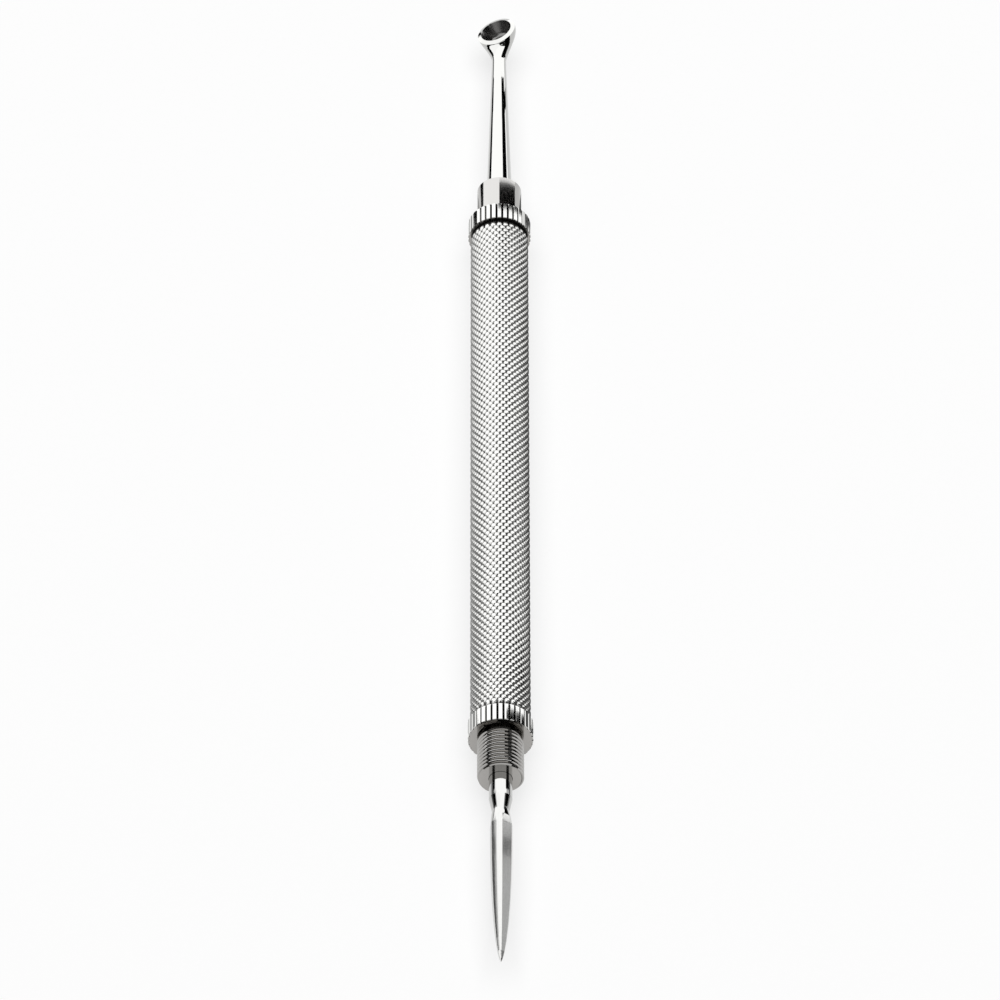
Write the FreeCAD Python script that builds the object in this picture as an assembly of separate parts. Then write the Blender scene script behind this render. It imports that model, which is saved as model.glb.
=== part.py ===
import FreeCAD, Part
import math
import os

os.makedirs("parts", exist_ok=True)
Vector = FreeCAD.Vector

# Sizes in millimetres. The tool lies along Y on its two toothed rings.
# Its cup is at +Y and its point at -Y.
handle_diameter = 6.5
handle_length = 72.7
handle_chamfer = 0.2

ring_diameter = 7.0
ring_width = 2.25
ring_chamfer = 0.06
ring_gap = 0.1
ring_teeth = 34
tooth_groove_width = 0.26
tooth_groove_depth = 0.2

# Both ferrules screw into the handle with a thread M5 x 0.5, and the lancet's has the same thread outside.
thread_radius = 2.5
thread_root_radius = 2.193
thread_pitch = 0.5
thread_slope = math.tan(math.radians(30))
thread_clearance = 0.1
thread_run_out = 0.4
outer_thread_run_out = 0.65
thread_relief_radius = 2.15
inner_relief_width = 0.5
outer_relief_width = 0.4
spigot_length = 6.0
spigot_lead = 0.35
outer_thread_length = 5.45
collar_radius = 2.5
collar_length = 5.25
edge_chamfer = 0.15

# Each tool has a head that its ferrule clamps against the floor of the handle's socket.
socket_radius = 2.33
socket_depth = 6.2
tap_depth = 5.8
tap_overrun = 0.5
socket_relief_radius = 2.65
socket_relief_width = 0.8
socket_mouth_depth = 0.4
socket_mouth_inset = 0.05
head_radius = 1.75
head_length = 1.8
head_play = 0.05
shank_play = 0.04

lancet_radius = 1.25
lancet_shank = 2.9
lancet_waist_radius = 0.93
lancet_cone = 1.7
lancet_flare = 2.0
blade_radius = 1.235
blade_length = 18.5
blade_tip_radius = 0.02
blade_fullness = 2.2
blade_taper = 0.62
facet_turn = -38
facet_half_angle = 30

stem_radius = 1.45
stem_base_radius = 1.44
stem_thin_radius = 0.8
stem_length = 21.0
stem_hidden = 0.3

# The cup is described by its rim: how far its middle lies from the collar and from the axis,
# and which way it faces. The swells say how fully its wall rounds out of the stem and up to the rim.
rim_radius = 2.288
rim_distance = 25.45
rim_offset = 0.838
rim_normal = Vector(-0.359, 0.134, 0.923).normalize()
mouth_radius = 1.83
lip_height = 0.16
brim_height = 0.2
wall_lean = 0.09
cup_floor_radius = 1.15
cup_depth = 1.35
cup_corner = 0.35
stem_swell = 4.7
stem_swell_change = 0.53
rim_swell = 5.1
rim_swell_change = 3.8

# Where things stand along the tool. Pieces of both ends are drawn out from the handle's +Y end face,
# and those of the lancet's end are then turned round to the other end.
axis_height = ring_diameter / 2
ferrule_length = ring_gap + ring_width
collar_face = ferrule_length + collar_length
lancet_face = ferrule_length + outer_thread_length
lancet_reach = lancet_face + lancet_shank + lancet_cone + lancet_flare + blade_length
cup_reach = collar_face + rim_distance + rim_radius * math.sqrt(1 - rim_normal.y ** 2)
handle_middle = (lancet_reach - cup_reach) / 2
handle_end = handle_middle + handle_length / 2
thread_start = -spigot_length - thread_run_out


def along(out):
    """The place on the tool's axis that lies a distance out from the handle's end face."""
    return Vector(0, handle_end + out, axis_height)


def other_end(shape):
    """A shape turned round to the lancet's end of the handle."""
    shape.rotate(Vector(0, handle_middle, 0), Vector(0, 0, 1), 180)
    return shape


def turned(outline):
    """A round solid from pairs of distance out from the handle's end face and radius."""
    points = [along(out).add(Vector(0, 0, radius)) for out, radius in outline]
    face = Part.Face(Part.makePolygon(points + points[:1]))
    return face.revolve(Vector(0, 0, axis_height), Vector(0, 1, 0), 360)


def screw_groove(start, finish, crest_radius, root_radius, root_width):
    """The groove that cuts a right-hand thread into a round bar, from start to finish."""
    beyond = crest_radius + 0.03
    half = root_width / 2
    wide = half + thread_slope * (beyond - root_radius)
    outline = [
        Vector(beyond, 0, -wide),
        Vector(beyond, 0, wide),
        Vector(root_radius, 0, half),
        Vector(root_radius, 0, -half),
    ]
    helix = Part.Wire(Part.makeHelix(thread_pitch, finish - start, crest_radius))
    groove = helix.makePipeShell([Part.makePolygon(outline + outline[:1])], True, True)
    groove.rotate(Vector(0, 0, 0), Vector(1, 0, 0), -90)
    groove.translate(along(start))
    return groove


def male_groove(start, finish):
    """The groove of an outside thread."""
    return screw_groove(start, finish, thread_radius, thread_root_radius, thread_pitch / 6)


def tooth_grooves():
    """The straight V grooves round a ring. A tooth points straight down, and the tool rests on it."""
    radius = ring_diameter / 2
    overrun = 0.5
    middle = along(ring_gap - overrun)
    beyond = 0.1
    half = tooth_groove_width / 2 * (1 + beyond / tooth_groove_depth)
    outline = [
        Vector(-half, 0, radius + beyond),
        Vector(half, 0, radius + beyond),
        Vector(0, 0, radius - tooth_groove_depth),
    ]
    wedge = Part.Face(Part.makePolygon(outline + outline[:1]))
    wedge = wedge.extrude(Vector(0, ring_width + 2 * overrun, 0))
    grooves = []
    for tooth in range(ring_teeth):
        groove = wedge.copy()
        groove.rotate(Vector(0, 0, 0), Vector(0, 1, 0), (tooth + 0.5) * 360 / ring_teeth)
        groove.translate(middle)
        grooves.append(groove)
    return grooves


def ferrule(nose, shank_radius):
    """A toothed ring with a screw spigot and a bore for a tool. The nose is the outline beyond it."""
    radius = ring_diameter / 2
    shoulder = -socket_depth + head_length
    bore = shank_radius + shank_play
    head_bore = head_radius + head_play
    outline = [
        (-spigot_length, head_bore),
        (-spigot_length, thread_radius - spigot_lead),
        (-spigot_length + spigot_lead, thread_radius),
        (-inner_relief_width, thread_radius),
        (-inner_relief_width, thread_relief_radius),
        (ring_gap, thread_relief_radius),
        (ring_gap, radius - ring_chamfer),
        (ring_gap + ring_chamfer, radius),
        (ferrule_length - ring_chamfer, radius),
        (ferrule_length, radius - ring_chamfer),
    ]
    outline += nose + [(nose[-1][0], bore), (shoulder, bore), (shoulder, head_bore)]
    groove = male_groove(thread_start, -0.4 * inner_relief_width)
    return turned(outline).cut(tooth_grooves() + [groove])


def tap():
    """The screw-shaped hollow of a threaded socket. Its thread stands clear of the spigot's."""
    crest = thread_radius + thread_clearance
    blank = turned([(-tap_depth, 0), (-tap_depth, crest), (tap_overrun, crest), (tap_overrun, 0)])
    finish = tap_overrun + thread_run_out
    return blank.cut(screw_groove(thread_start, finish, crest, socket_radius, thread_pitch / 4))


def handle():
    """A round bar with a threaded socket in each end."""
    radius = handle_diameter / 2
    outline = [
        (-handle_length, 0),
        (-handle_length, radius - handle_chamfer),
        (-handle_length + handle_chamfer, radius),
        (-handle_chamfer, radius),
        (0, radius - handle_chamfer),
        (0, 0),
    ]
    bar = turned(outline)
    relief_end = -socket_depth + socket_relief_width
    relief = [
        (-socket_depth, 0),
        (-socket_depth, socket_relief_radius),
        (relief_end, socket_relief_radius),
        (relief_end, 0),
    ]
    beyond = 0.02
    mouth = [
        (-socket_mouth_depth, 0),
        (-socket_mouth_depth, socket_radius - socket_mouth_inset),
        (beyond, socket_relief_radius),
        (beyond, 0),
    ]
    for hollow in (tap(), turned(relief), turned(mouth)):
        bar = bar.cut(hollow)
        bar = bar.cut(other_end(hollow.copy()))
    return bar


def cup_ferrule():
    """The fitting at the cup's end, with a smooth round collar."""
    nose = [
        (ferrule_length, collar_radius),
        (collar_face - edge_chamfer, collar_radius),
        (collar_face, collar_radius - edge_chamfer),
    ]
    return ferrule(nose, stem_radius)


def lancet_ferrule():
    """The fitting at the lancet's end, with an outside thread for a screw-on guard."""
    relief_end = ferrule_length + outer_relief_width
    nose = [
        (ferrule_length, thread_relief_radius),
        (relief_end, thread_relief_radius),
        (relief_end, thread_radius),
        (lancet_face - edge_chamfer, thread_radius),
        (lancet_face, thread_radius - edge_chamfer),
    ]
    groove = male_groove(relief_end - edge_chamfer, lancet_face + outer_thread_run_out)
    return other_end(ferrule(nose, lancet_radius).cut(groove))


def clamped_shank(radius, finish):
    """The head that the ferrule clamps and the shank that runs out through its bore."""
    shoulder = -socket_depth + head_length
    outline = [
        (-socket_depth, 0),
        (-socket_depth, head_radius - edge_chamfer),
        (-socket_depth + edge_chamfer, head_radius),
        (shoulder, head_radius),
        (shoulder, radius),
        (finish, radius),
        (finish, 0),
    ]
    return turned(outline)


def faceted_section(out, radius, half_angle):
    """A round section with three flats ground on it, for the lancet's blade."""
    middle = along(out)

    def spot(degrees):
        turn = math.radians(degrees)
        return middle.add(Vector(radius * math.sin(turn), 0, radius * math.cos(turn)))

    edges = []
    for facet in range(3):
        centre = facet_turn + 120 * facet
        flat = (spot(centre - half_angle), spot(centre + half_angle))
        next_flat = spot(centre + 120 - half_angle)
        edges.append(Part.LineSegment(*flat).toShape())
        edges.append(Part.Arc(flat[1], spot(centre + 60), next_flat).toShape())
    return Part.Wire(edges)


def blade_radius_at(share):
    """The blade's radius at a share of its length, full at 0 and a point at 1."""
    return blade_radius * (1 - share ** blade_fullness) ** blade_taper


def lancet():
    """The round shank, the waist and the pointed blade with three ground facets."""
    cone_start = lancet_face + lancet_shank
    waist = cone_start + lancet_cone
    blade_start = waist + lancet_flare
    shank = clamped_shank(lancet_radius, cone_start)
    waist_radius = lancet_waist_radius
    middle_radius = (waist_radius + blade_radius) / 2
    cone = turned([(cone_start, 0), (cone_start, lancet_radius), (waist, waist_radius), (waist, 0)])
    sections = [
        faceted_section(waist, waist_radius, facet_half_angle / 6),
        faceted_section(waist + lancet_flare / 2, middle_radius, 0.6 * facet_half_angle),
        faceted_section(blade_start, blade_radius, facet_half_angle),
    ]
    for share in (0.12, 0.26, 0.42, 0.58, 0.72, 0.84, 0.93, 0.98):
        out = blade_start + share * blade_length
        sections.append(faceted_section(out, blade_radius_at(share), facet_half_angle))
    tip = blade_start + blade_length
    sections.append(faceted_section(tip, blade_tip_radius, facet_half_angle))
    blade = Part.makeLoft(sections, True, True)
    return other_end(shank.fuse([cone, blade]).removeSplitter())


def cup_directions():
    """Unit vectors from the stem's axis towards the cup's mouth, to the cup's toe and to its side."""
    lengthwise = Vector(0, 1, 0)
    above = (rim_normal - lengthwise * rim_normal.y).normalize()
    toe = (lengthwise - rim_normal * rim_normal.y).normalize()
    return above, toe, rim_normal.cross(toe)


def rim_middle():
    """The middle of the cup's rim."""
    return along(collar_face + rim_distance) + cup_directions()[0] * rim_offset


def round_the_stem(turn):
    """A unit vector out from the stem. Turn 0 is below the cup, and half a turn on its mouth's side."""
    above = cup_directions()[0]
    return above.cross(Vector(0, 1, 0)) * math.sin(turn) - above * math.cos(turn)


def stem_spot(share, turn):
    """A place on the stem: share runs from just inside the collar at 0 to the cup at 1."""
    radius = stem_base_radius + share * (stem_thin_radius - stem_base_radius)
    out = collar_face - stem_hidden + share * (stem_length + stem_hidden)
    return along(out) + round_the_stem(turn) * radius


def cup_spot(share, turn):
    """A place on the cup's outside: share runs from the stem at 0 to just above the rim at 1."""
    above, toe, side = cup_directions()
    outwards = toe * math.cos(turn) + side * math.sin(turn)
    upwards = rim_normal - outwards * wall_lean
    brim = rim_middle() + outwards * rim_radius + upwards * brim_height
    stem_pull = Vector(0, 1, 0) * (stem_swell - stem_swell_change * math.cos(turn))
    brim_pull = upwards * (rim_swell + rim_swell_change * math.cos(turn))
    return (
        stem_spot(1, turn) * (2 * share ** 3 - 3 * share ** 2 + 1)
        + stem_pull * (share ** 3 - 2 * share ** 2 + share)
        + brim * (3 * share ** 2 - 2 * share ** 3)
        + brim_pull * (share ** 3 - share ** 2)
    )


def cup_hollow():
    """What is cut away above the cup: its hollow and the space over its sloping lip."""
    middle = rim_middle()
    sideways = cup_directions()[2]

    def spot(radius, height):
        return middle + sideways * radius + rim_normal * height

    floor = -cup_depth
    clear_radius = rim_radius + 0.4
    clear_height = 1
    low = spot(cup_floor_radius - cup_corner, floor)
    bend = spot(cup_floor_radius - 0.08, floor + 0.12)
    wall = spot(cup_floor_radius + 0.05, floor + cup_corner)
    mouth = spot(mouth_radius, lip_height)
    brim = spot(clear_radius, -lip_height)
    over_brim = spot(clear_radius, clear_height)
    over_middle = spot(0, clear_height)
    edges = [
        Part.LineSegment(spot(0, floor), low).toShape(),
        Part.Arc(low, bend, wall).toShape(),
        Part.LineSegment(wall, mouth).toShape(),
        Part.LineSegment(mouth, brim).toShape(),
        Part.LineSegment(brim, over_brim).toShape(),
        Part.LineSegment(over_brim, over_middle).toShape(),
        Part.LineSegment(over_middle, spot(0, floor)).toShape(),
    ]
    return Part.Face(Part.Wire(edges)).revolve(middle, rim_normal, 360)


def cup_extractor():
    """The stem that thins towards the cup, and the cup that grows out of it."""
    columns = 32
    stem_rows = 45
    cup_rows = 10
    turns = [2 * math.pi * k / columns for k in range(columns + 1)]
    rows = [[stem_spot(k / stem_rows, turn) for turn in turns] for k in range(stem_rows)]
    rows += [[cup_spot(k / cup_rows, turn) for turn in turns] for k in range(cup_rows + 1)]
    surface = Part.BSplineSurface()
    surface.interpolate(rows)
    wall = surface.toShape()
    caps = [Part.Face(Part.Wire([edge])) for edge in wall.Edges if edge.isClosed()]
    horn = Part.makeShell([wall] + caps)
    horn.sewShape()
    horn = Part.makeSolid(horn)
    shank = clamped_shank(stem_radius, collar_face - stem_hidden / 2)
    return horn.cut(cup_hollow()).fuse(shank)


for name, shape in (
    ("handle", handle()),
    ("cup_ferrule", cup_ferrule()),
    ("cup_extractor", cup_extractor()),
    ("lancet_ferrule", lancet_ferrule()),
    ("lancet", lancet()),
):
    shape.exportStep("parts/" + name + ".step")
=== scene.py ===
import math

import bmesh
import bpy
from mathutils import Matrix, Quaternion, Vector


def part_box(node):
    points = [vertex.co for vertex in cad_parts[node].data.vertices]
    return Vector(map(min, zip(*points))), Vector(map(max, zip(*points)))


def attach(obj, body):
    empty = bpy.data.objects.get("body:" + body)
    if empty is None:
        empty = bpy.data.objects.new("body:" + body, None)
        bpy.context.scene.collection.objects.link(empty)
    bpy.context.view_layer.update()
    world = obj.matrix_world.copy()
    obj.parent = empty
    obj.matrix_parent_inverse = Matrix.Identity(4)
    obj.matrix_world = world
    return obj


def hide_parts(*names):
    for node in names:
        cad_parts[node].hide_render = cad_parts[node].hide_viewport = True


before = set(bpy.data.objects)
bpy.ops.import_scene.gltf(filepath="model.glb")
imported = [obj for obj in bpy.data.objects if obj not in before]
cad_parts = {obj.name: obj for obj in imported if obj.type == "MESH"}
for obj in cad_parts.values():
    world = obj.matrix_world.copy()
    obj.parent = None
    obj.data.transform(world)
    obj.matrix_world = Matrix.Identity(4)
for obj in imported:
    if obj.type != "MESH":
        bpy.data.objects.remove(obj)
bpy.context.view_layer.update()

MM = 0.001

# Sizes of the tool, in metres. The tool lies along Y, and its axis is at x = 0.
axis_height = 3.5 * MM
handle_low, handle_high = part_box("handle")
handle_length = handle_high.y - handle_low.y
handle_middle = (handle_high.y + handle_low.y) / 2
handle_radius = 3.25 * MM
handle_chamfer = 0.2 * MM

# The knurl: raised pads in rows, each row half a pad on from the last.
knurl_starts = 27
knurl_rows = 153
knurl_row_step = 0.47 * MM
knurl_depth = 0.24 * MM
pad_width = 2 * math.pi * handle_radius / knurl_starts

# One pad: its vertices along each side, how far they are drawn to its sides, the share of it that is flat,
# and how much deeper its corners sink than two sides together, where a side sinks by 1.
pad_vertices = 5
pad_spread = 0.32
pad_flat_share = 0.35
pad_corner_drop = 1.4

# The threaded sockets in the handle's ends. The thread is moved on by a share of its pitch.
socket_depth = 6.2 * MM
socket_crest_radius = 2.33 * MM
socket_root_radius = 2.6 * MM
socket_relief_radius = 2.65 * MM
socket_relief_start = -5.4 * MM
socket_mouth_depth = 0.4 * MM
socket_mouth_radius = 2.28 * MM
socket_rings = 63
thread_pitch = 0.5 * MM
thread_start = -6.4 * MM
thread_shift = 0.25
thread_crest_width = 0.125 * MM
thread_flank_angle = math.radians(30)
thread_flank_width = (socket_root_radius - socket_crest_radius) * math.tan(thread_flank_angle)

# In the knurled handle's mesh, points this near are one point, and edges over this angle are sharp.
weld_distance = 0.001 * MM
sharp_angle = math.radians(45)

# The cup's rim, the way that its mouth faces, and how far over the rim's middle its bowl may reach.
rim_middle = Vector((-0.304, 68.191, 4.281)) * MM
rim_normal = Vector((-0.359, 0.134, 0.923)).normalized()
mouth_radius = 1.86 * MM
bowl_top = 0.12 * MM

# Along the lancet, where the polish of its shank ends and where the grinding of its blade is full.
polish_end = -50 * MM
grinding_full = -52 * MM

# The view: nearly along the tool, from the lancet's end and well above it.
view_target = Vector((0, -4.96 * MM, axis_height))
view_distance = 888 * MM
view_elevation = math.radians(47)
view_roll = math.radians(-0.127)
view_lens = 292.6
view_sensor = 36


def add(tree, kind, values=None, **settings):
    """Adds a node. Its inputs, by name or number, are values, sockets, or nodes for their first output."""
    node = tree.nodes.new(kind)
    for name, value in settings.items():
        setattr(node, name, value)
    for key, value in (values or {}).items():
        if isinstance(value, bpy.types.Node):
            value = value.outputs[0]
        if isinstance(value, bpy.types.NodeSocket):
            tree.links.new(value, node.inputs[key])
        else:
            node.inputs[key].default_value = value
    return node


def compute(tree, operation, *values):
    """A node that computes a number from these values, in order."""
    return add(tree, "ShaderNodeMath", dict(enumerate(values)), operation=operation)


def compute_vector(tree, operation, *values):
    """A node that computes with vectors from these values, in order."""
    return add(tree, "ShaderNodeVectorMath", dict(enumerate(values)), operation=operation)


def split(tree, vector):
    """The X, Y and Z of a vector."""
    return add(tree, "ShaderNodeSeparateXYZ", {0: vector}).outputs


def new_object(name, data):
    """A new object in the scene."""
    piece = bpy.data.objects.new(name, data)
    bpy.context.scene.collection.objects.link(piece)
    return piece


def colour(hex_code):
    """The linear colour of an sRGB hex value."""
    parts = [int(hex_code[k:k + 2], 16) / 255 for k in (1, 3, 5)]
    return [c / 12.92 if c <= 0.04045 else ((c + 0.055) / 1.055) ** 2.4 for c in parts] + [1]


def new_material(name):
    """A node material with a bare shader, its tree and that shader."""
    material = bpy.data.materials.new(name)
    material.use_nodes = True
    tree = material.node_tree
    tree.nodes.clear()
    shader = add(tree, "ShaderNodeBsdfPrincipled")
    add(tree, "ShaderNodeOutputMaterial", {"Surface": shader})
    return material, tree, shader


def new_steel(name):
    """A steel's material, tree and shader, the place on the object and its distance from the tool's axis."""
    material, tree, shader = new_material(name)
    shader.inputs["Metallic"].default_value = 1
    place = add(tree, "ShaderNodeTexCoord").outputs["Object"]
    from_axis = compute_vector(tree, "SUBTRACT", place, (0, 0, axis_height))
    across = compute_vector(tree, "MULTIPLY", from_axis, (1, 0, 1))
    radius = compute_vector(tree, "LENGTH", across).outputs["Value"]
    return material, tree, shader, place, radius


def dress(tree, shader, tint, rough, bump):
    """Gives a shader its colour, from a socket, and its roughness and normal, from nodes."""
    tree.links.new(tint, shader.inputs["Base Color"])
    tree.links.new(rough.outputs[0], shader.inputs["Roughness"])
    tree.links.new(bump.outputs[0], shader.inputs["Normal"])


def mixed(tree, share, first, second):
    """The socket of a colour that goes from the first to the second with a share from 0 to 1."""
    return add(tree, "ShaderNodeMix", {0: share, 6: first, 7: second}, data_type="RGBA").outputs[2]


def by_radius(tree, radius, stops):
    """Colours that change with the distance from the axis, from stops of millimetres and a hex colour."""
    low, high = stops[0][0], stops[-1][0]
    share = add(tree, "ShaderNodeMapRange", {"Value": radius, "From Min": low * MM, "From Max": high * MM})
    ramp = add(tree, "ShaderNodeValToRGB", {"Fac": share})
    elements = ramp.color_ramp.elements
    while len(elements) < len(stops):
        elements.new(0.5)
    for element, (distance, hex_code) in zip(elements, stops):
        element.position = (distance - low) / (high - low)
        element.color = colour(hex_code)
    return ramp


def stretched_noise(tree, place, sizes):
    """Noise whose patches are this many millimetres long in X, Y and Z."""
    scaled = compute_vector(tree, "MULTIPLY", place, [1 / (size * MM) for size in sizes])
    return add(tree, "ShaderNodeTexNoise", {"Vector": scaled, "Scale": 1.0, "Detail": 2.0})


def knurled_steel():
    """Bright rolled steel: shining pads, painted shade down in the pits, and a little wear on the tops."""
    material, tree, shader, place, radius = new_steel("knurled_steel")
    # Colour by distance from the axis: the dark stops deep in the pits are painted shade, and the lighter
    # tops are wear
    depth = by_radius(tree, radius, (
        (2.9, "#A9A8A6"), (2.98, "#A9A8A6"), (3.01, "#181717"), (3.08, "#343332"), (3.15, "#AEAEAC"),
        (3.2, "#CACAC8"), (3.25, "#CFCFCD")))
    wear = stretched_noise(tree, place, (0.5, 0.5, 0.5))
    wear_and_painted_shade = add(tree, "ShaderNodeMapRange", {"Value": wear, "To Min": 0.86, "To Max": 1.06})
    tint = add(tree, "ShaderNodeVectorMath", {0: depth, "Scale": wear_and_painted_shade}, operation="SCALE")
    rough = add(tree, "ShaderNodeMapRange", {
        "Value": radius, "From Min": 3.05 * MM, "From Max": 3.22 * MM, "To Min": 0.4, "To Max": 0.12})
    grain = stretched_noise(tree, place, (0.12, 0.12, 0.12))
    bump = add(tree, "ShaderNodeBump", {"Height": grain, "Strength": 0.5, "Distance": 0.004 * MM})
    dress(tree, shader, tint.outputs[0], rough, bump)
    return material


def turned_steel():
    """Lathe-turned stainless steel: fine rings round it, satin light, and painted shade in the thread roots
    and tooth grooves.
    """
    material, tree, shader, place, radius = new_steel("turned_stainless_steel")
    # The dark stops at the thread roots and in the tooth grooves are painted shade
    wear_and_painted_shade = by_radius(tree, radius, (
        (2.1, "#2A2928"), (2.22, "#4A4947"), (2.34, "#9C9A97"), (2.48, "#B1B0AE"), (3.3, "#1E1D1D"),
        (3.4, "#3A3938"), (3.46, "#C8C8C6"), (3.5, "#CCCCCA")))

    # End faces are plain. They look along the tool more squarely than the thread's flanks, which reach 0.87.
    facing = split(tree, add(tree, "ShaderNodeTexCoord").outputs["Normal"])
    along = compute(tree, "ABSOLUTE", facing[1])
    end_face = add(tree, "ShaderNodeMapRange", {"Value": along, "From Min": 0.93, "From Max": 0.97})
    tint = mixed(tree, end_face, wear_and_painted_shade, colour("#A8A6A3"))

    lines = stretched_noise(tree, place, (60, 0.12, 60))
    rough = add(tree, "ShaderNodeMapRange", {"Value": lines, "To Min": 0.05, "To Max": 0.13})
    bump = add(tree, "ShaderNodeBump", {"Height": lines, "Strength": 0.5, "Distance": 0.0002 * MM})
    dress(tree, shader, tint, rough, bump)
    return material


def inside_bowl(tree, place):
    """1 in the cup's bowl, and 0 elsewhere: within the mouth, below the rim, and facing the open side."""
    from_rim = compute_vector(tree, "SUBTRACT", place, rim_middle)
    over_rim = compute_vector(tree, "DOT_PRODUCT", from_rim, rim_normal).outputs["Value"]
    aside = compute_vector(tree, "CROSS_PRODUCT", from_rim, rim_normal)
    from_middle = compute_vector(tree, "LENGTH", aside).outputs["Value"]
    normal = add(tree, "ShaderNodeTexCoord").outputs["Normal"]
    facing = compute_vector(tree, "DOT_PRODUCT", normal, rim_normal).outputs["Value"]
    within = compute(tree, "LESS_THAN", from_middle, mouth_radius)
    sunk = compute(tree, "LESS_THAN", over_rim, bowl_top)
    least_facing = 0.1
    open_side = compute(tree, "GREATER_THAN", facing, least_facing)
    bowl = compute(tree, "MULTIPLY", within, sunk)
    return compute(tree, "MULTIPLY", bowl, open_side)


def polished_steel():
    """Mirror-polished stainless steel: crisp reflections, faint lines along the stem, and a rougher bowl
    darkened with painted shade.
    """
    material, tree, shader, place, _ = new_steel("polished_stainless_steel")
    lines = stretched_noise(tree, place, (0.08, 4, 0.08))
    bowl = inside_bowl(tree, place)
    # The bowl's darker colour is painted shade inside the cup; its extra roughness is its duller finish
    tint = mixed(tree, bowl, colour("#C0C0BE"), colour("#727170"))
    polish = add(tree, "ShaderNodeMapRange", {"Value": lines, "To Min": 0.03, "To Max": 0.07})
    bowl_roughness = 0.22
    rough = compute(tree, "MULTIPLY_ADD", bowl, bowl_roughness, polish)
    bump = add(tree, "ShaderNodeBump", {"Height": lines, "Strength": 0.3, "Distance": 0.001 * MM})
    dress(tree, shader, tint, rough, bump)
    return material


def ground_steel():
    """Ground stainless steel: a polished shank, and grinding lines along the blade that spread the light."""
    material, tree, shader, place, _ = new_steel("ground_stainless_steel")
    lines = stretched_noise(tree, place, (0.06, 6, 0.06))
    tint = mixed(tree, lines, colour("#B5B5B3"), colour("#C4C4C3"))
    along = split(tree, place)[1]
    blade = add(tree, "ShaderNodeMapRange", {
        "Value": along, "From Min": polish_end, "From Max": grinding_full})
    ground = add(tree, "ShaderNodeMapRange", {"Value": lines, "To Min": 0.12, "To Max": 0.26})
    shank_roughness = 0.04
    rough = compute(tree, "MAXIMUM", compute(tree, "MULTIPLY", ground, blade), shank_roughness)
    bump = add(tree, "ShaderNodeBump", {"Height": lines, "Strength": blade, "Distance": 0.0008 * MM})
    dress(tree, shader, tint, rough, bump)
    return material


def glowing(name, radiance):
    """Lit cloth: a sheet that shines evenly, where 1 is white."""
    material, _, shader = new_material(name)
    shader.inputs["Base Color"].default_value = colour("#0A0A0A")
    shader.inputs["Specular IOR Level"].default_value = 0
    shader.inputs["Emission Color"].default_value = colour("#FFFFFF")
    shader.inputs["Emission Strength"].default_value = radiance
    material.cycles.emission_sampling = "NONE"
    return material


def white_paper():
    """Smooth white paper: evenly lit, with a hint of fibre, and only a faint shadow under the tool."""
    material, tree, shader = new_material("white_paper")
    place = add(tree, "ShaderNodeTexCoord").outputs["Object"]
    fibre = stretched_noise(tree, place, (0.8, 0.8, 0.8))
    tint = mixed(tree, fibre, colour("#F6F6F6"), colour("#FAFAFA"))
    tree.links.new(tint, shader.inputs["Base Color"])
    shader.inputs["Roughness"].default_value = 0.9
    shader.inputs["Specular IOR Level"].default_value = 0

    # Where it is seen, most of its light is an even white, so that its shadows stay faint
    even_share = 0.75
    path = add(tree, "ShaderNodeLightPath").outputs
    seen = compute(tree, "ADD", path["Is Camera Ray"], path["Is Glossy Ray"])
    seen = compute(tree, "ADD", seen, path["Is Transmission Ray"])
    share = compute(tree, "MULTIPLY", seen, even_share)
    white = add(tree, "ShaderNodeEmission", {"Color": colour("#FBFBFB"), "Strength": 1.0})
    both = add(tree, "ShaderNodeMixShader", {0: share, 1: shader, 2: white})
    tree.links.new(both.outputs[0], tree.nodes["Material Output"].inputs["Surface"])
    material.cycles.emission_sampling = "NONE"
    return material


def black_card():
    """Matt black card, which leaves a dark stripe where the steel mirrors it."""
    material, _, shader = new_material("black_card")
    shader.inputs["Base Color"].default_value = colour("#0A0A0A")
    shader.inputs["Roughness"].default_value = 0.9
    shader.inputs["Specular IOR Level"].default_value = 0
    return material


def knurl_pad(tree, given):
    """One pad of the knurl: a diamond, high in the middle, low at its sides and lowest at its corners."""
    grid = add(tree, "GeometryNodeMeshGrid", {
        "Size X": 2.0, "Size Y": 2.0, "Vertices X": pad_vertices, "Vertices Y": pad_vertices})
    place = add(tree, "GeometryNodeInputPosition")
    square = compute_vector(tree, "MULTIPLY", place, place)
    stretch = compute_vector(tree, "MULTIPLY_ADD", square, (-pad_spread, -pad_spread, 0),
                             (1 + pad_spread, 1 + pad_spread, 1))
    spread = compute_vector(tree, "MULTIPLY", place, stretch)

    # How far each point sinks
    out = compute_vector(tree, "ABSOLUTE", spread)
    fall = add(tree, "ShaderNodeMapRange", {"Vector": out, 7: [pad_flat_share] * 3},
               data_type="FLOAT_VECTOR", interpolation_type="SMOOTHSTEP")
    fall = split(tree, fall.outputs["Vector"])
    both = compute(tree, "ADD", fall[0], fall[1])
    corner = compute(tree, "MULTIPLY", fall[0], fall[1])
    sunk = compute(tree, "MULTIPLY_ADD", corner, pad_corner_drop, both)
    depth = compute(tree, "MULTIPLY", given["Depth"], -1 / (2 + pad_corner_drop))
    height = compute(tree, "MULTIPLY", sunk, depth)

    # The square turned on its corner, a pad wide and two rows long
    side = split(tree, spread)
    across = compute(tree, "SUBTRACT", side[0], side[1])
    across = compute(tree, "MULTIPLY", across, given["Pad Width"])
    across = compute(tree, "MULTIPLY", across, 0.25)
    along = compute(tree, "ADD", side[0], side[1])
    along = compute(tree, "MULTIPLY", along, given["Row Step"])
    along = compute(tree, "MULTIPLY", along, 0.5)
    shaped = add(tree, "ShaderNodeCombineXYZ", {0: across, 1: along, 2: height})
    return add(tree, "GeometryNodeSetPosition", {"Geometry": grid, "Position": shaped})


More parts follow.
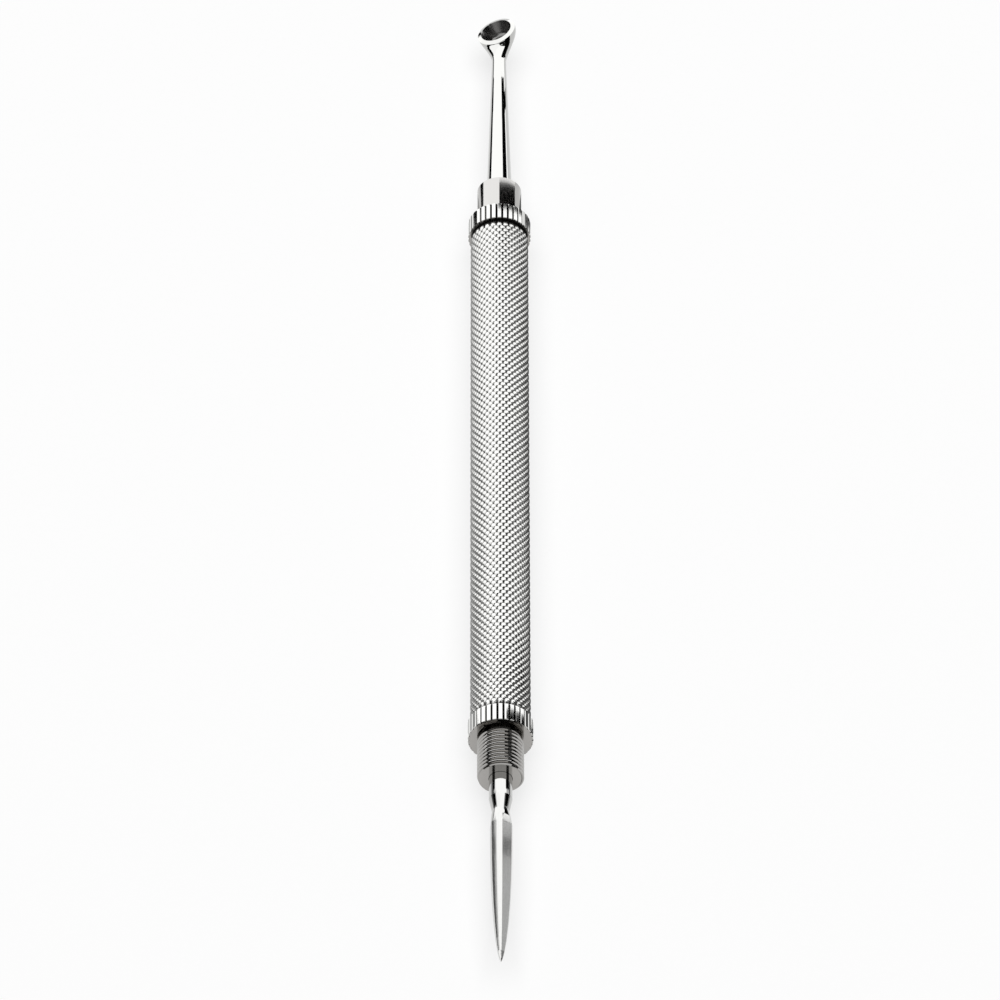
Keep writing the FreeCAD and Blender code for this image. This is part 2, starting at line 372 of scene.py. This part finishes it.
def rolled(tree, mesh, turn, distance, along, chosen=True):
    """Moves points round the Y axis: to this angle, this distance from the axis and this place along it."""
    across = compute(tree, "MULTIPLY", compute(tree, "SINE", turn), distance)
    up = compute(tree, "MULTIPLY", compute(tree, "COSINE", turn), distance)
    spot = add(tree, "ShaderNodeCombineXYZ", {0: across, 1: along, 2: up})
    return add(tree, "GeometryNodeSetPosition", {"Geometry": mesh, "Selection": chosen, "Position": spot})


def extend_ends(tree, mesh, radius, reach, columns):
    """Adds a ring of faces to both open ends of a sleeve, out or in to a circle of that radius."""
    neighbours = add(tree, "GeometryNodeInputMeshEdgeNeighbors")
    is_open = add(tree, "FunctionNodeCompare", {2: neighbours, 3: 1}, data_type="INT", operation="EQUAL")
    ring = add(tree, "GeometryNodeExtrudeMesh", {"Mesh": mesh, "Selection": is_open, "Offset Scale": 0.0},
               mode="EDGES")
    place = split(tree, add(tree, "GeometryNodeInputPosition"))
    turn = compute(tree, "ARCTAN2", place[0], place[2])
    step = compute(tree, "DIVIDE", 2 * math.pi, columns)
    nudged = compute(tree, "MULTIPLY_ADD", step, 0.5, turn)
    even = compute(tree, "SNAP", nudged, step)
    end = compute(tree, "MULTIPLY", compute(tree, "SIGN", place[1]), reach)
    return rolled(tree, ring, even, radius, end, ring.outputs["Top"])


def joined(tree, *parts):
    """One geometry from several nodes."""
    whole = add(tree, "GeometryNodeJoinGeometry")
    for part in parts:
        tree.links.new(part.outputs[0], whole.inputs[0])
    return whole


def threaded_socket(tree, columns, reach):
    """The socket in the handle's +Y end: a chamfered mouth, an inside thread, a relief and a flat floor."""
    edges = compute(tree, "ADD", columns, 1.0)
    grid = add(tree, "GeometryNodeMeshGrid", {
        "Size X": 2 * math.pi, "Size Y": socket_depth, "Vertices X": edges, "Vertices Y": socket_rings})
    place = split(tree, add(tree, "GeometryNodeInputPosition"))
    deep = compute(tree, "SUBTRACT", place[1], socket_depth / 2)

    # The wall's radius: the widest of thread, mouth and relief
    turns = compute(tree, "DIVIDE", place[0], 2 * math.pi)
    first_phase = thread_shift - thread_start / thread_pitch
    phase = compute(tree, "MULTIPLY_ADD", deep, 1 / thread_pitch, first_phase)
    phase = compute(tree, "SUBTRACT", phase, turns)
    from_crest = compute(tree, "PINGPONG", phase, 0.5)
    crest = thread_crest_width / 2 / thread_pitch
    thread = add(tree, "ShaderNodeMapRange", {
        "Value": from_crest, "From Min": crest, "From Max": crest + thread_flank_width / thread_pitch,
        "To Min": socket_crest_radius, "To Max": socket_root_radius})
    mouth = add(tree, "ShaderNodeMapRange", {
        "Value": deep, "From Min": -socket_mouth_depth, "From Max": 0.0, "To Min": socket_mouth_radius,
        "To Max": socket_relief_radius})
    relief = compute(tree, "LESS_THAN", deep, socket_relief_start)
    relief = compute(tree, "MULTIPLY", relief, socket_relief_radius)
    radius = compute(tree, "MAXIMUM", thread, mouth)
    radius = compute(tree, "MAXIMUM", radius, relief)
    along = compute(tree, "ADD", deep, reach)
    wall = rolled(tree, grid, place[0], radius, along)

    # The floor
    disc = add(tree, "GeometryNodeMeshCircle", {"Vertices": columns, "Radius": socket_relief_radius},
               fill_type="NGON")
    bottom = compute(tree, "SUBTRACT", reach, socket_depth)
    bottom = add(tree, "ShaderNodeCombineXYZ", {1: bottom})
    disc = add(tree, "GeometryNodeTransform", {
        "Geometry": disc, "Translation": bottom, "Rotation": (math.pi / 2, 0, 0)})
    return joined(tree, wall, disc)


def handle_tree():
    """A tree that rolls a lattice of pads into a sleeve along Y, closes its ends and sinks the sockets."""
    tree = bpy.data.node_groups.new("knurled_handle", "GeometryNodeTree")
    tree.interface.new_socket("Geometry", in_out="OUTPUT", socket_type="NodeSocketGeometry")
    for name, kind in (
        ("Radius", "Float"), ("Length", "Float"), ("Chamfer", "Float"), ("Starts", "Int"), ("Rows", "Int"),
        ("Pad Width", "Float"), ("Row Step", "Float"), ("Depth", "Float"), ("Material", "Material"),
    ):
        tree.interface.new_socket(name, in_out="INPUT", socket_type="NodeSocket" + kind)
    given = add(tree, "NodeGroupInput").outputs

    # The flat lattice, with every second row half a pad on
    place = split(tree, add(tree, "GeometryNodeInputPosition"))
    span = compute(tree, "MULTIPLY", compute(tree, "ADD", given["Rows"], -1.0), given["Row Step"])
    width = compute(tree, "MULTIPLY", compute(tree, "ADD", given["Starts"], -1.0), given["Pad Width"])
    grid = add(tree, "GeometryNodeMeshGrid", {
        "Size X": width, "Size Y": span, "Vertices X": given["Starts"], "Vertices Y": given["Rows"]})
    row = compute(tree, "DIVIDE", place[1], given["Row Step"])
    odd = compute(tree, "PINGPONG", row, 1.0)
    half_pad = compute(tree, "MULTIPLY", given["Pad Width"], 0.5)
    shift = compute(tree, "MULTIPLY", odd, half_pad)
    shift = add(tree, "ShaderNodeCombineXYZ", {0: shift})
    lattice = add(tree, "GeometryNodeSetPosition", {"Geometry": grid, "Offset": shift})
    sheet = add(tree, "GeometryNodeInstanceOnPoints", {"Points": lattice, "Instance": knurl_pad(tree, given)})
    sheet = add(tree, "GeometryNodeRealizeInstances", {"Geometry": sheet})

    # The sheet rolled into a sleeve, with chamfers and end faces. Each end runs along two sides of every pad.
    turn = compute(tree, "DIVIDE", place[0], given["Radius"])
    distance = compute(tree, "ADD", place[2], given["Radius"])
    sleeve = rolled(tree, sheet, turn, distance, place[1])
    sleeve = add(tree, "GeometryNodeMergeByDistance", {"Geometry": sleeve, "Distance": weld_distance})
    columns = compute(tree, "MULTIPLY", given["Starts"], 2.0 * (pad_vertices - 1))
    reach = compute(tree, "MULTIPLY", given["Length"], 0.5)
    edge = compute(tree, "SUBTRACT", given["Radius"], given["Chamfer"])
    sleeve = extend_ends(tree, sleeve, edge, reach, columns)
    sleeve = extend_ends(tree, sleeve, socket_relief_radius, reach, columns)

    # A socket in each end
    socket = threaded_socket(tree, columns, reach)
    other = add(tree, "GeometryNodeTransform", {"Geometry": socket, "Rotation": (0, 0, math.pi)})
    whole = joined(tree, sleeve, socket, other)
    whole = add(tree, "GeometryNodeMergeByDistance", {"Geometry": whole, "Distance": weld_distance})
    whole = add(tree, "GeometryNodeRealizeInstances", {"Geometry": whole})
    whole = add(tree, "GeometryNodeSetMaterial", {"Geometry": whole, "Material": given["Material"]})
    add(tree, "NodeGroupOutput", {0: whole})
    return tree


def from_nodes(name, tree, values):
    """A plain mesh object from a node tree with these inputs."""
    piece = new_object(name, bpy.data.meshes.new(name))
    modifier = piece.modifiers.new("nodes", "NODES")
    modifier.node_group = tree
    for item in tree.interface.items_tree:
        if item.in_out == "INPUT":
            modifier[item.identifier] = values[item.name]
    graph = bpy.context.evaluated_depsgraph_get()
    mesh = bpy.data.meshes.new_from_object(piece.evaluated_get(graph))
    piece.modifiers.clear()
    piece.data = mesh
    return piece


def knurled_handle(material):
    """The handle with its knurl and its sockets, in its place on the tool."""
    piece = from_nodes("knurled_handle", handle_tree(), {
        "Radius": handle_radius, "Length": handle_length, "Chamfer": handle_chamfer, "Starts": knurl_starts,
        "Rows": knurl_rows, "Pad Width": pad_width, "Row Step": knurl_row_step, "Depth": knurl_depth,
        "Material": material})
    shape = bmesh.new()
    shape.from_mesh(piece.data)
    bmesh.ops.translate(shape, verts=shape.verts, vec=(0, handle_middle, axis_height))
    bmesh.ops.recalc_face_normals(shape, faces=shape.faces)
    shape.to_mesh(piece.data)
    shape.free()
    piece.data.shade_smooth()
    piece.data.set_sharp_from_angle(angle=sharp_angle)
    return piece


def flat(name, material, corners, faces=((0, 1, 2, 3),)):
    """A sheet of the studio, from its corners in millimetres."""
    mesh = bpy.data.meshes.new(name)
    mesh.from_pydata([[c * MM for c in corner] for corner in corners], [], faces)
    mesh.materials.append(material)
    piece = new_object(name, mesh)
    return piece


def reflecting_only(piece):
    """Leaves a card to the reflections: it is out of the picture, and takes no light from the floor."""
    piece.visible_camera = False
    piece.visible_diffuse = False
    piece.visible_shadow = False


def flag(name, material, distance, start, finish, radius, lean, low, high):
    """A curved card at this distance from the tool that is what the camera sees mirrored in one band of it.

    The band runs between two places along the tool, at this radius, where its surface leans forwards by some
    degrees, and between two angles from the top, towards +X. Lengths are in millimetres.
    """
    look = Vector((0, math.cos(view_elevation), -math.sin(view_elevation)))
    tilt = math.radians(lean)
    steps = 8
    points = []
    for along in (start, finish):
        for k in range(steps + 1):
            turn = math.radians(low + (high - low) * k / steps)
            out = Vector((math.sin(turn), 0, math.cos(turn)))
            normal = out * math.cos(tilt) - Vector((0, math.sin(tilt), 0))
            spot = out * radius + Vector((0, along, axis_height / MM))
            ray = look - 2 * look.dot(normal) * normal
            points.append(spot + ray * distance)
    faces = [(k, k + 1, k + steps + 2, k + steps + 1) for k in range(steps)]
    reflecting_only(flat(name, material, points, faces))


def softbox(name, place, width, height, radiance):
    """A bright sheet, in millimetres, that faces the tool. Cards in front of it hide it from the steel."""
    facing = (-Vector(place)).to_track_quat("-Z", "Y")
    corners = [(-1, -1), (1, -1), (1, 1), (-1, 1)]
    corners = [Vector(place) + facing @ Vector((x * width / 2, y * height / 2, 0)) for x, y in corners]
    reflecting_only(flat(name, glowing(name, radiance), corners))


def lit_floor():
    """The paper under the tool, a wide lamp that the steel doesn't mirror, and a faint light all round."""
    half = 3000
    flat("floor", white_paper(), [(-half, -half, 0), (half, -half, 0), (half, half, 0), (-half, half, 0)])
    lamp_data = bpy.data.lights.new("floor_lamp", "AREA")
    lamp_data.size = 1600 * MM
    lamp_data.energy = 24
    lamp = new_object("floor_lamp", lamp_data)
    lamp.location = Vector((0, 100, 1200)) * MM
    lamp.visible_glossy = False
    world = bpy.data.worlds.new("studio")
    world.use_nodes = True
    background = world.node_tree.nodes["Background"].inputs
    background["Color"].default_value = (1, 1, 1, 1)
    background["Strength"].default_value = 0.03
    bpy.context.scene.world = world


def mirrored_sheets():
    """The bright sheets that the steel mirrors as highlights, by their place, width, height and radiance."""
    softbox("back_softbox", (0, 560, 440), 2200, 1280, 1.85)
    softbox("left_softbox", (-560, 100, 430), 1000, 1200, 1.75)
    softbox("front_softbox", (0, -600, 540), 1300, 500, 0.9)
    softbox("right_softbox", (600, 60, 420), 700, 450, 0.3)


def mirrored_cards():
    """The black and grey cards that the steel mirrors as dark stripes, in millimetres and degrees."""
    black = black_card()
    grey = glowing("grey_scrim", 0.72)
    shade = glowing("dark_scrim", 0.11)
    pale_shade = glowing("pale_scrim", 0.48)

    # Cards that stand on the floor: how far to the side, both ends along the tool, and the height
    for name, material, aside, start, finish, height in (
        ("right_card", black, 100, -60, 46, 24),
        ("left_card", black, -100, -60, 46, 18),
    ):
        corners = [(aside, start, 0), (aside, finish, 0), (aside, finish, height), (aside, start, height)]
        reflecting_only(flat(name, material, corners))

    # Cards that lie just over the floor: both sides, and both ends along the tool. They are painted shade:
    # the steel mirrors them in place of the floor's shade beside the tool, while the camera sees the plain
    # floor.
    lift = 0.3
    for name, material, inner, outer, start, finish in (
        ("right_shade", shade, 4, 60, -36, 46),
        ("left_shade", pale_shade, -4, -60, -36, 46),
        ("stem_shade", black, -10, -80, 52, 110),
    ):
        corners = [(inner, start, lift), (outer, start, lift), (outer, finish, lift), (inner, finish, lift)]
        reflecting_only(flat(name, material, corners))

    # Cards for one band each: distance, both ends of the band, its radius and lean, and both of its angles
    near, far = 20, 90
    flag("stem_right", black, near, 43, 62.5, 1.2, -1.7, 17, 38)
    flag("stem_left", black, near, 43, 62.5, 1.2, -1.7, -48, -41)
    flag("flare_right", black, near, 62.5, 66, 1.1, 6, 20, 55)
    flag("flare_left", black, near, 62.5, 66, 1.1, 6, -58, -44)
    flag("collar", black, near, 36.6, 43, 2.5, 0, -2, 45)
    flag("thread", black, near, -45.6, -40, 2.5, 0, 10, 45)
    flag("shank_right", black, near, -48.6, -45.6, 1.25, 0, 26, 45)
    flag("shank_left", black, near, -48.6, -45, 1.25, 0, -41, -29)
    flag("cone_right", black, near, -50.4, -48, 1.1, 10.7, 26, 48)
    flag("cone_left", black, near, -50.4, -48, 1.1, 10.7, -44, -28)
    flag("blade_right", grey, far, -95, -45, 0.9, 2, 30, 46)
    flag("blade_left", shade, far, -95, -45, 1, 2, -48, -34)
    flag("blade_middle", grey, far, -95, -45, 1, 2, -34, -22)


def camera():
    """The camera, with a long lens, and colours shown as they are."""
    camera_data = bpy.data.cameras.new("camera")
    camera_data.lens = view_lens
    camera_data.sensor_width = view_sensor
    camera_data.clip_start = 50 * MM
    eye = new_object("camera", camera_data)
    back = Vector((0, -math.cos(view_elevation), math.sin(view_elevation)))
    eye.location = view_target + back * view_distance
    eye.rotation_mode = "QUATERNION"
    eye.rotation_quaternion = (-back).to_track_quat("-Z", "Y") @ Quaternion((0, 0, 1), view_roll)
    bpy.context.scene.camera = eye
    bpy.context.scene.view_settings.view_transform = "Standard"


# The studio
lit_floor()
mirrored_sheets()
mirrored_cards()
camera()

# The tool: a knurled handle in place of the plain one, and steel on the other pieces
handle = knurled_handle(knurled_steel())
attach(handle, "handle")
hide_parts("handle")

turned = turned_steel()
for node, material in (
    ("cup_ferrule", turned), ("lancet_ferrule", turned), ("cup_extractor", polished_steel()),
    ("lancet", ground_steel()),
):
    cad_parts[node].data.materials.clear()
    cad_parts[node].data.materials.append(material)
